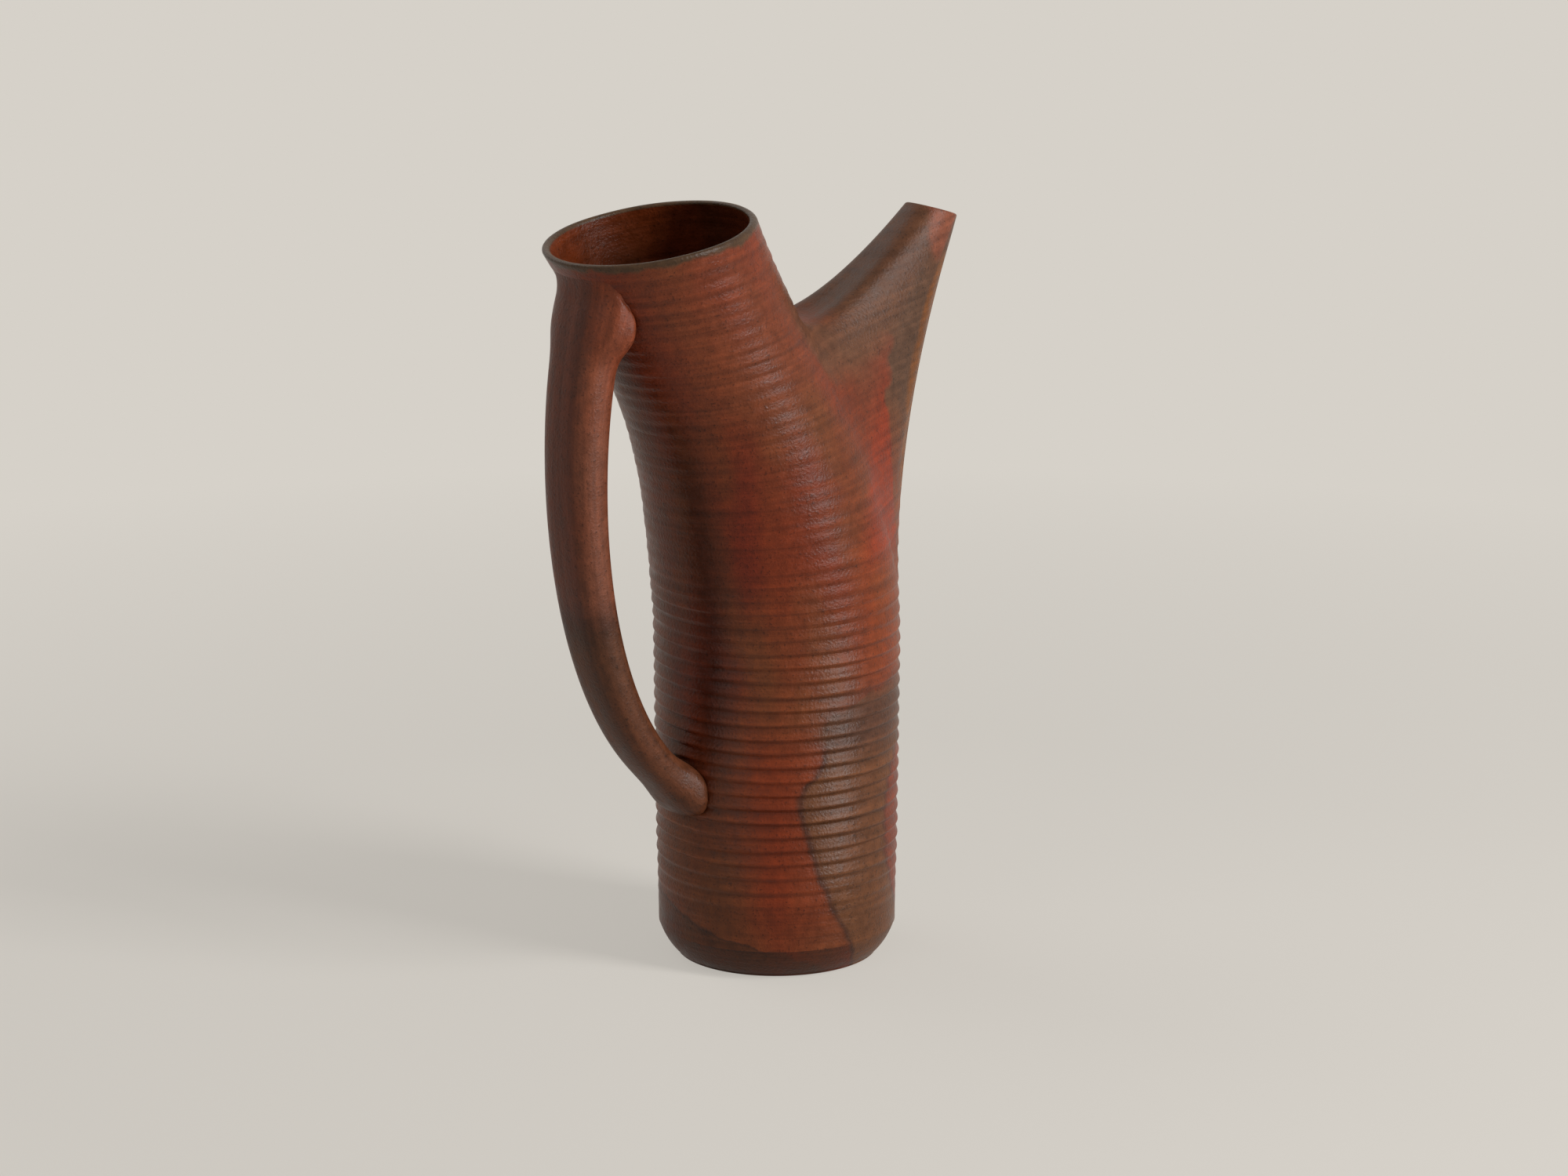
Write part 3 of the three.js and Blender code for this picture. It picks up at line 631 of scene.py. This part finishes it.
# Spout
# A thrown cone of the same stoneware, let into the oval hole and smoothed onto the wall, so that it grows
# out of the body and the neck without a seam. Its tip was cut off on a slope with a wire.
TIP_REACH = 0.0333
TIP_BELOW_RIM = 0.0064
TIP_RADIUS = 0.011
TIP_WALL = 0.0028
TIP_CUT = math.radians(18)
TIP_LEAN_OUTER = math.radians(25.8)
TIP_LEAN_SADDLE = math.radians(45.9)
TIP_SPLAY = 0.16
TIP_ROUND = 0.0009
NOSE_CROWN = 0.003
NOSE_SHARPNESS = 5
TURN_FROM = 0.25
TURN_TO = 0.75
PULL_TIP_OUTER = 0.51
PULL_TIP_SADDLE = 0.81
PULL_ROOT_OUTER = 1.42
PULL_ROOT_SADDLE = 0.8
PULL_ROOT_BORE = 1.0
JUST_PAST_EDGE = 1.01
JUST_ROUND_EDGE = 0.01
SPOUT_ROWS = 190
ROOT_DENSITY = 1.6
BORE_ROWS = 34
TIP_EDGE_ROWS = 4
FLUSH_REACH = 0.016
SPOUT_LENGTH = 0.18
CUBIC = 1, 3, 3, 1


def mix(one, other, share):
    """Goes from one value to the other with the share."""
    return one + (other - one) * share


def length_of(vectors):
    """Lengths of vectors, kept as a column."""
    return np.linalg.norm(vectors, axis=-1, keepdims=True)


def spout_root(rounds, share, offset):
    """Point of the oval root on the wall: a round of 0 is its low outer end, half a turn is the saddle."""
    angle = share * ROOT_SPREAD * root_breadth(rounds)
    return on_tube(root_middle - share * root_half * np.cos(rounds), angle, offset)


def spout_skin(rounds, shares, inner):
    """Rows of points from the cut tip to the root, outside the wall or inside it. The tip is divided like
    the root, so that no pleat runs down the saddle."""
    behind = (1 - np.cos(rounds)) / 2
    saddle = smooth(behind, 0, 1)[:, None]
    tip_radius = TIP_RADIUS - (TIP_WALL if inner else 0)
    tip_height = axis(np.array(RIM))[1] - TIP_BELOW_RIM
    sideways = root_breadth(rounds)
    forwards = np.sign(np.cos(rounds)) * np.sqrt(1 - sideways ** 2)
    tip = np.column_stack([
        SHOULDER_RADIUS + TIP_REACH + tip_radius * forwards * math.cos(TIP_CUT),
        tip_radius * sideways,
        tip_height - tip_radius * forwards * math.sin(TIP_CUT)])
    offset = -WALL if inner else 0.0
    root = spout_root(rounds, 1, offset)
    lean = mix(TIP_LEAN_OUTER, TIP_LEAN_SADDLE, saddle[:, 0])
    leaving = np.column_stack([-np.sin(lean), TIP_SPLAY * sideways, -np.cos(lean)])
    leaving /= length_of(leaving)
    arriving = spout_root(rounds, JUST_PAST_EDGE, offset) - root
    arriving /= length_of(arriving)
    if not inner:
        level = np.array([-1.0, 0, 0])
        normal = np.cross(arriving, spout_root(rounds + JUST_ROUND_EDGE, 1, offset) - root)
        normal /= length_of(normal)
        flush = level - normal * (normal @ level)[:, None]
        arriving = mix(arriving, flush / length_of(flush), smooth(behind, TURN_FROM, TURN_TO)[:, None])
        arriving /= length_of(arriving)
    span = length_of(tip - root)
    pull_tip = span * mix(PULL_TIP_OUTER, PULL_TIP_SADDLE, saddle) / 3
    pull_root = span * mix(PULL_ROOT_OUTER, PULL_ROOT_BORE if inner else PULL_ROOT_SADDLE, saddle) / 3
    forward = np.array([math.cos(TIP_LEAN_OUTER), 0, -math.sin(TIP_LEAN_OUTER)])
    crown = (4 / 3 * NOSE_CROWN * np.maximum(np.cos(rounds), 0) ** NOSE_SHARPNESS)[:, None] * forward
    guides = tip, tip + leaving * pull_tip + crown, root - arriving * pull_root + crown, root
    return sum(
        weight * shares[:, None, None] ** power * (1 - shares[:, None, None]) ** (3 - power) * guide[None]
        for power, (weight, guide) in enumerate(zip(CUBIC, guides)))


spout_rounds = np.arange(2 * ROOT_STEPS) * math.pi / ROOT_STEPS
spout_shares = 1 - np.linspace(1, 0, SPOUT_ROWS) ** ROOT_DENSITY
spout_outside = spout_skin(spout_rounds, spout_shares, False)
spout_bore = spout_skin(spout_rounds, np.linspace(1, 0, BORE_ROWS), True)
tip_across = spout_bore[-1] - spout_outside[0]
tip_across /= length_of(tip_across)
tip_down = spout_outside[1] - spout_outside[0]
tip_down /= length_of(tip_down)
tip_turns = np.linspace(0, math.pi / 2, TIP_EDGE_ROWS + 1)[1:]
outer_edge = [
    spout_outside[0] + TIP_ROUND * (tip_across * (1 - math.cos(turn)) + tip_down * (1 - math.sin(turn)))
    for turn in tip_turns]
inner_edge = [
    spout_bore[-1] + TIP_ROUND * (tip_down * (1 - math.sin(turn)) - tip_across * (1 - math.cos(turn)))
    for turn in tip_turns[::-1]]
spout_outside[0] += TIP_ROUND * tip_down
spout_bore[-1] += TIP_ROUND * tip_down
spout_points = np.concatenate([spout_outside, spout_bore, inner_edge, outer_edge[::-1]])
edge_rows = len(inner_edge) + len(outer_edge)
spout_rows = len(spout_points)
spout_flat = spout_points.reshape(-1, 3)
spout_worked = on_wheel(spout_flat)
spout_reach = np.hypot(spout_worked[:, 0], spout_worked[:, 1]) - tube_radius(spout_worked[:, 2])
spout_angle = np.arctan2(spout_worked[:, 1], spout_worked[:, 0])
spout_run = np.concatenate([
    spout_shares, np.linspace(1, 0, BORE_ROWS), np.zeros(edge_rows)]) * SPOUT_LENGTH
spout_own = np.column_stack([
    np.tile(np.cos(spout_rounds), spout_rows), np.tile(np.sin(spout_rounds), spout_rows),
    np.repeat(spout_run, 2 * ROOT_STEPS)])
bore_row = (np.arange(spout_rows) >= SPOUT_ROWS) & (np.arange(spout_rows) < SPOUT_ROWS + BORE_ROWS)
spout_in = np.repeat(bore_row, 2 * ROOT_STEPS)

# Marks of the firing on the cone itself, and a painted reflection along its right side, as distances from
# the tip in mm and angles round it from the front
TIP_LEFT = [(0, -32), (8, -16), (25, 10), (40, 37)]
TIP_RIGHT = [(0, 76), (16, 66), (36, 51), (50, 45)]
FRONT_EDGE = [(20, 62), (33, 54), (45, 45), (56, 40), (81, 38), (99, 39), (110, 43), (128, 54), (150, 72)]
cone_flashes_and_painted_reflection = [
    dict(left=-200, right=200, edge=5, low=-100, high=134, fade=34, colour="573926", strength=0.9),
    dict(left=TIP_LEFT, right=TIP_RIGHT, edge=(14, 3), low=-20, high=35, fade=5,
         colour="7d4430", strength=0.75),
    dict(left=14, right=FRONT_EDGE, edge=(8, 4), low=40, high=118, fade=12, colour="4b382b", strength=0.5),
    # Painted reflection: orange along the spout's right side, which faces the key lamp
    dict(left=FRONT_EDGE, right=122, edge=(4, 16), low=32, high=150, fade=8, colour="6c3d14", strength=0.85),
]
# Thrown stoneware that fly ash turned tan: a duller skin, orange along the front that is a painted
# reflection of light, and pink at the tip
spout_clay = fired_clay(
    "Wood-fired stoneware spout", wall_tones, wall_flashes[:-2], throwing, roughness=0.42,
    own_flashes_and_painted_light=cone_flashes_and_painted_reflection)
spout = clay_piece(
    "jug_spout", spout_flat, loft(spout_rows, 2 * ROOT_STEPS, closes=True),
    worked=spout_worked, own=spout_own, inside=spout_in,
    out=outwards(spout_worked[:, 2], spout_angle),
    skin=~spout_in * (1 - smooth(spout_reach, 0, FLUSH_REACH)))
ringed(spout, spout_clay)
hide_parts("spout")
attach(spout, "root")

# Handle
# A strap that was pulled from a lump of wet stoneware clay, so that it is flat outside, softly cornered and
# streaked along its length. Its thick end was pressed on under the lip, and its thin end low on the body.
TOP_DROP = 0.017
TOP_SINK = 0.0077
LOW_HEIGHT = 0.078
LOW_SINK = 0.003
TOP_PULL = 0.0599
TOP_ANGLE = math.radians(21.7)
LOW_PULL = 0.0691
LOW_ANGLE = math.radians(62.7)
STRAP_WIDTH = 0.0315, 0.0222
STRAP_THICKNESS = 0.021, 0.0146
SQUARENESS = 2.7
ROOT_SQUARENESS = 3.2
ROOT_EASE = 0.035
LEAD_IN = 0.010
TOP_SPREAD = 0.022
TOP_SPREAD_ABOVE = 0.019
TOP_SPREAD_BELOW = 0.013
TOP_SPREAD_FLATNESS = 3.2
LOW_SPREAD = 0.010
LOW_SPREAD_LENGTH = 0.012
SPREAD_AT = 0.011
LOW_SWELL = 0.009
LOW_SWELL_LENGTH = 0.012
PRESSED = 0.0003
BLEND_OUTER = 0.006
BLEND_SIDE = 0.003
PRESS_ROUND = 0.006
PRESS_DEPTH = 0.003
STRAP_ROWS = 220
STRAP_SIDES = 96
STRAP_FINENESS = 600
CLEAR_AT = 0.3, 0.7
END_HALVINGS = 30
BLEND_TURN = -0.5, 1.0
TUCK_TURN = -0.6, 0.6
strap_top = on_tube(RIM - TOP_DROP, math.pi, -TOP_SINK)
strap_low = on_tube(LOW_HEIGHT, math.pi, -LOW_SINK)
hang = np.array([-math.sin(TOP_ANGLE), 0, -math.cos(TOP_ANGLE)])
lift = np.array([-math.sin(LOW_ANGLE), 0, math.cos(LOW_ANGLE)])
strap_guides = strap_top, strap_top + hang * TOP_PULL, strap_low + lift * LOW_PULL, strap_low
fine_share = np.linspace(0, 1, STRAP_FINENESS)[:, None]
strap_line = sum(
    weight * fine_share ** power * (1 - fine_share) ** (3 - power) * guide
    for power, (weight, guide) in enumerate(zip(CUBIC, strap_guides)))
strap_line = np.vstack([strap_top - hang * LEAD_IN, strap_line, strap_low - lift * LEAD_IN])
strap_run = np.concatenate([[0], np.cumsum(np.linalg.norm(np.diff(strap_line, axis=0), axis=1))]) - LEAD_IN
strap_length = strap_run[-2]
strap_heading = np.gradient(strap_line, strap_run, axis=0)
side_turn = np.arange(STRAP_SIDES) * math.tau / STRAP_SIDES


def cornered(value, squareness):
    """Sine or cosine of a round section, pushed out towards a square with soft corners."""
    return np.sign(value) * np.abs(value) ** (2 / squareness)


def on_strap(run, turn):
    """Point of the strap's skin at a distance from its top end, and its place in the strap."""
    centre = np.stack([np.interp(run, strap_run, strap_line[:, part]) for part in range(3)], -1)
    heading = np.stack([np.interp(run, strap_run, strap_heading[:, part]) for part in range(3)], -1)
    heading /= length_of(heading)
    held = np.clip(run, 0, strap_length)
    share = held / strap_length
    past = run - SPREAD_AT
    past = past / np.where(past < 0, -TOP_SPREAD_ABOVE, TOP_SPREAD_BELOW)
    spread = TOP_SPREAD * np.exp(-past ** TOP_SPREAD_FLATNESS)
    width = mix(*STRAP_WIDTH, share) + spread * (1 - np.cos(turn)) / 2
    width = width + LOW_SPREAD * np.exp(-((strap_length - held) / LOW_SPREAD_LENGTH) ** 2)
    thickness = mix(*STRAP_THICKNESS, share)
    thickness = thickness + LOW_SWELL * np.exp(-((strap_length - held) / LOW_SWELL_LENGTH) ** 2)
    out = np.stack([heading[..., 2], 0 * share, -heading[..., 0]], -1)
    squareness = mix(ROOT_SQUARENESS, SQUARENESS, smooth(held, 0, ROOT_EASE))
    far = thickness / 2 * cornered(np.cos(turn), squareness)
    sideways = width / 2 * cornered(np.sin(turn), squareness)
    point = centre + out * far[..., None]
    point[..., 1] += sideways
    return point, np.stack([-far, sideways, run], -1)


def off_wall(points):
    """Distance of points from the outside of the wall."""
    place = on_wheel(points)
    angle = np.arctan2(place[:, 1], place[:, 0])
    return np.hypot(place[:, 0], place[:, 1]) - tube_radius(place[:, 2]) - out_of_round(angle, place[:, 2])


blend_top = mix(BLEND_SIDE, BLEND_OUTER, smooth(np.cos(side_turn), *BLEND_TURN))
strap_ends = []
for buried, clear, depth in (
    (-LEAD_IN, strap_length * CLEAR_AT[0], blend_top),
    (strap_length + LEAD_IN, strap_length * CLEAR_AT[1], PRESSED),
):
    buried, clear = np.full(STRAP_SIDES, buried), np.full(STRAP_SIDES, clear)
    for _ in range(END_HALVINGS):
        middle = (buried + clear) / 2
        sunk = off_wall(on_strap(middle, side_turn)[0]) < -depth
        buried, clear = np.where(sunk, middle, buried), np.where(sunk, clear, middle)
    strap_ends.append(middle)
strap_share = (1 - np.cos(np.linspace(0, math.pi, STRAP_ROWS))) / 2
strap_share = 0.5 * strap_share + 0.5 * np.linspace(0, 1, STRAP_ROWS)
strap_runs = mix(strap_ends[0][None], strap_ends[1][None], strap_share[:, None])
strap_points, strap_worked = on_strap(strap_runs, np.broadcast_to(side_turn, strap_runs.shape))
clear_of_wall = off_wall(strap_points.reshape(-1, 3)).reshape(strap_runs.shape)
upper_half = strap_runs < strap_length / 2
filled = np.clip(clear_of_wall + blend_top, 0, 2 * blend_top) ** 2 / (4 * blend_top)
filled = np.where(clear_of_wall < blend_top, filled, clear_of_wall)
filled = np.where(upper_half, filled - PRESSED * np.exp(-filled / PRESSED) - clear_of_wall, 0)
strap_place = on_wheel(strap_points.reshape(-1, 3))
strap_out = outwards(strap_place[:, 2], np.arctan2(strap_place[:, 1], strap_place[:, 0]))
strap_points = strap_points + strap_out.reshape(strap_points.shape) * filled[..., None]
tucked = np.clip(1 - clear_of_wall / PRESS_ROUND, 0, 1)
tucked = PRESS_DEPTH * (1 - np.sqrt(1 - tucked ** 2))
tucked = tucked * (1 - upper_half * smooth(np.cos(side_turn), *TUCK_TURN))
strap_middle = strap_points.mean(1, keepdims=True)
inward = strap_middle - strap_points
strap_points = strap_points + inward / length_of(inward) * tucked[..., None]
ends = np.stack([strap_points[0].mean(0), strap_points[-1].mean(0)])
end_places = np.stack([strap_worked[0].mean(0), strap_worked[-1].mean(0)])
strap_count = STRAP_ROWS * STRAP_SIDES
strap_faces = loft(STRAP_ROWS, STRAP_SIDES)
for end, first in ((strap_count, 0), (strap_count + 1, strap_count - STRAP_SIDES)):
    strap_faces += [[first + side, first + (side + 1) % STRAP_SIDES, end] for side in range(STRAP_SIDES)]
handle_tones = {"brown": "6c3d2a", "red": "763820", "inside": "6c3d2a", "inside red": "6c3d2a"}
handle_flashes_and_painted_shade = [
    # Painted shade: the outer face and the far side, which turn away from the key lamp, darkened
    dict(left=-120, right=-6, edge=8, low=-40, high=400, fade=10, colour="532d23", strength=0.65),
    dict(left=-179, right=179, edge=1, low=134, high=400, fade=8, colour="4a2c19", strength=0.75),
    dict(left=-179, right=179, edge=1, low=128, high=142, fade=7, colour="2c1810", strength=0.45),
]
pulling = 0.0022, 0.0022, 0.06
# Pulled stoneware: streaks along its length, a dull skin that the low flame left brown, and painted shade on
# its outer face
handle_clay = fired_clay("Pulled stoneware handle", handle_tones, handle_flashes_and_painted_shade, pulling, roughness=0.42)
handle = clay_piece(
    "jug_handle", np.vstack([strap_points.reshape(-1, 3), ends]), strap_faces,
    worked=np.vstack([strap_worked.reshape(-1, 3), end_places]), inside=np.zeros(strap_count + 2))
handle.data.materials.append(handle_clay)
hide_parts("handle")
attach(handle, "root")

# Luted seams
# The members were scored, wetted with slip and smoothed over before the firing, so no seam shows on the
# wall. The shading of two members agrees wherever they run flush, and breaks only at a crease or the foot.
CREASE = math.cos(math.radians(21))
WIPE_REACH = 0.020
WIPE_FROM = 0.185
WIPE_TO = 0.225
WIPE_PASSES = 160
WIPE_SHARE = 0.7
STEPS_PER_METRE = 1e5
TINY = 1e-9


def values_of(items, name, kind, width=1):
    """One value of each item of a mesh."""
    values = np.empty(len(items) * width, kind)
    items.foreach_get(name, values)
    return values


members = [foot, lower_body, upper_body, spout, handle]
places, facing, weights, beside = [], [], [], []
for member in members:
    mesh = member.data
    spots = values_of(mesh.vertices, "co", np.float32, 3)
    at_corner = values_of(mesh.loops, "vertex_index", np.int32)
    sides = values_of(mesh.polygons, "loop_total", np.int32)
    normals = values_of(mesh.polygons, "normal", np.float32, 3)
    areas = values_of(mesh.polygons, "area", np.float32)
    spots = np.rint(spots.reshape(-1, 3)[at_corner].astype(float) * STEPS_PER_METRE)
    places.append(np.column_stack([spots, np.full(len(spots), member is foot)]).astype(np.int64))
    facing.append(np.repeat(normals.reshape(-1, 3), sides, 0))
    weights.append(np.repeat(areas, sides))
    first = np.repeat(np.cumsum(sides) - sides, sides)
    corner_count = sum(map(len, beside))
    beside.append(corner_count + first + (np.arange(len(first)) - first + 1) % np.repeat(sides, sides))
counts = [len(place) for place in places]
places, facing, weights = np.vstack(places), np.vstack(facing), np.concatenate(weights)
shared = np.unique(places, axis=0, return_inverse=True)[1].ravel()
order = np.argsort(shared, kind="stable")
_, starts, sizes = np.unique(shared[order], return_index=True, return_counts=True)
start_of = np.repeat(starts, sizes)
size_of = np.repeat(sizes, sizes)
rank = np.arange(len(order)) - start_of
mean = np.zeros_like(facing)
for step in range(sizes.max()):
    open_corners = size_of > step
    one = order[open_corners]
    other = order[(start_of + (rank + step) % size_of)[open_corners]]
    flush = np.einsum("ij,ij->i", facing[one], facing[other]) > CREASE
    mean[one] += facing[other] * (weights[other] * flush)[:, None]
mean /= length_of(mean)

# A wet finger wiped the spout's root, so the wall turns into the spout without a line
beside = np.concatenate(beside)
spots = np.zeros((shared.max() + 1, 3))
spots[shared] = places[:, :3] / STEPS_PER_METRE
level = np.zeros_like(spots)
np.add.at(level, shared, mean)
level /= np.maximum(length_of(level), TINY)
high_up = spots[:, 2] > WIPE_FROM
nearest = np.full(high_up.sum(), WIPE_REACH)
for point in spout_root(spout_rounds, 1, 0.0):
    nearest = np.minimum(nearest, length_of(spots[high_up] - point)[:, 0])
reach = np.full(len(spots), WIPE_REACH)
reach[high_up] = nearest
wiped = (1 - smooth(reach, 0, WIPE_REACH)) * smooth(spots[:, 2], WIPE_FROM, WIPE_TO)
uncreased = np.ones(len(spots), bool)
uncreased[shared[np.einsum("ij,ij->i", mean, level[shared]) < CREASE]] = False
wiped *= uncreased
pairs = np.column_stack([shared, shared[beside]])
pairs = pairs[(wiped[pairs] > 0).any(1)]
pairs = np.vstack([pairs, pairs[:, ::-1]])
pairs = pairs[uncreased[pairs[:, 1]]]
for _ in range(WIPE_PASSES):
    drawn = np.column_stack([
        np.bincount(pairs[:, 0], level[pairs[:, 1], part], len(spots)) for part in range(3)])
    drawn /= np.maximum(length_of(drawn), TINY)
    level = mix(level, np.where(length_of(drawn) > 0, drawn, level), WIPE_SHARE * wiped[:, None])
level /= np.maximum(length_of(level), TINY)
mean = np.where(wiped[shared][:, None] > 0, level[shared], mean)
for member, corners in zip(members, np.split(mean, np.cumsum(counts)[:-1])):
    member.data.normals_split_custom_set(corners.tolist())

# Floor, light and camera
# A plain pale floor that runs on to a pale background, one tall soft lamp at the right with two weaker ones,
# and the camera at the height and angle from which the jug is seen.
FLOOR_REACH = 6.0
FLOOR_GAP = 0.0001
PALE = "d6d1c9"
EVENNESS = 0.65
EVEN_FROM = 0.35
EVEN_TO = 0.95
AMBIENT = 0.15


def reaches_eye(tree):
    """1 for what the eye sees, also in a gloss or through a clear piece, and 0 for what only lights."""
    path = node(tree, "ShaderNodeLightPath").outputs
    seen = path["Is Camera Ray"]
    for kind in ("Is Glossy Ray", "Is Transmission Ray"):
        seen = node(tree, "ShaderNodeMath", seen, path[kind], operation="MAXIMUM")
    return seen


ground = bpy.data.meshes.new("floor")
floor_corners = (-1, -1), (1, -1), (1, 1), (-1, 1)
ground.from_pydata(
    [(x * FLOOR_REACH, y * FLOOR_REACH, -FLOOR_GAP) for x, y in floor_corners], [], [(0, 1, 2, 3)])
floor = bpy.data.objects.new("floor", ground)
bpy.context.scene.collection.objects.link(floor)

# Matt paper: an even pale ground without gloss. Close to the jug it takes the lamps' light, so the shadow
# shows, and further out it keeps its own colour, so the eye finds no glare and no horizon.
paper = bpy.data.materials.new("Matt paper")
paper.use_nodes = True
sheet = paper.node_tree
sheet.nodes.clear()
matt = node(sheet, "ShaderNodeBsdfPrincipled", at={"Base Color": srgb(PALE), "Roughness": 0.9})
glow = node(sheet, "ShaderNodeEmission", srgb(PALE), 1.0)
from_jug = node(sheet, "ShaderNodeTexCoord").outputs["Object"]
from_jug = node(sheet, "ShaderNodeVectorMath", from_jug, operation="LENGTH")
even = node(sheet, "ShaderNodeMapRange", from_jug, EVEN_FROM, EVEN_TO, EVENNESS, 1.0)
watched = node(sheet, "ShaderNodeMath", reaches_eye(sheet), even, operation="MULTIPLY")
shown = node(sheet, "ShaderNodeMixShader", watched, matt, glow)
node(sheet, "ShaderNodeOutputMaterial", shown)
ground.materials.append(paper)


def lamp(name, azimuth, elevation, distance, across, tall, power):
    """A soft lamp that faces the jug's middle."""
    light = bpy.data.lights.new(name, "AREA")
    light.shape = "RECTANGLE"
    light.size = across
    light.size_y = tall
    light.energy = power
    made = bpy.data.objects.new(name, light)
    turn, rise = math.radians(azimuth), math.radians(elevation)
    made.location = (
        distance * math.cos(turn) * math.cos(rise), distance * math.sin(turn) * math.cos(rise),
        cad_high.z / 2 + distance * math.sin(rise))
    made.rotation_euler = math.pi / 2 - rise, 0, turn + math.pi / 2
    bpy.context.scene.collection.objects.link(made)


lamp("key", azimuth=-69, elevation=27, distance=1.6, across=0.4, tall=1.8, power=31)
lamp("fill", azimuth=-170, elevation=22, distance=2.0, across=1.4, tall=1.4, power=3.5)
lamp("back", azimuth=110, elevation=44, distance=2.0, across=1.4, tall=1.4, power=8)

world = bpy.data.worlds.new("studio")
bpy.context.scene.world = world
world.use_nodes = True
sky = world.node_tree
sky.nodes.clear()
backdrop = node(sky, "ShaderNodeBackground", srgb(PALE), 1.0)
ambient = node(sky, "ShaderNodeBackground", srgb("ffffff"), AMBIENT)
shown = node(sky, "ShaderNodeMixShader", reaches_eye(sky), ambient, backdrop)
node(sky, "ShaderNodeOutputWorld", shown)

CAMERA_PLACE = -1.2832, -1.5341, 0.6452
CAMERA_PITCH = math.radians(13.75)
CAMERA_YAW = math.radians(-40)
PIXELS_WIDE = 2000
FOCAL_PIXELS = 6310.7
SENSOR = 36.0
eye_view = bpy.data.cameras.new("camera")
eye_view.sensor_fit = "HORIZONTAL"
eye_view.sensor_width = SENSOR
eye_view.lens = SENSOR * FOCAL_PIXELS / PIXELS_WIDE
camera = bpy.data.objects.new("camera", eye_view)
camera.location = CAMERA_PLACE
camera.rotation_euler = math.pi / 2 - CAMERA_PITCH, 0, CAMERA_YAW
bpy.context.scene.collection.objects.link(camera)
bpy.context.scene.camera = camera
bpy.context.scene.view_settings.view_transform = "Standard"
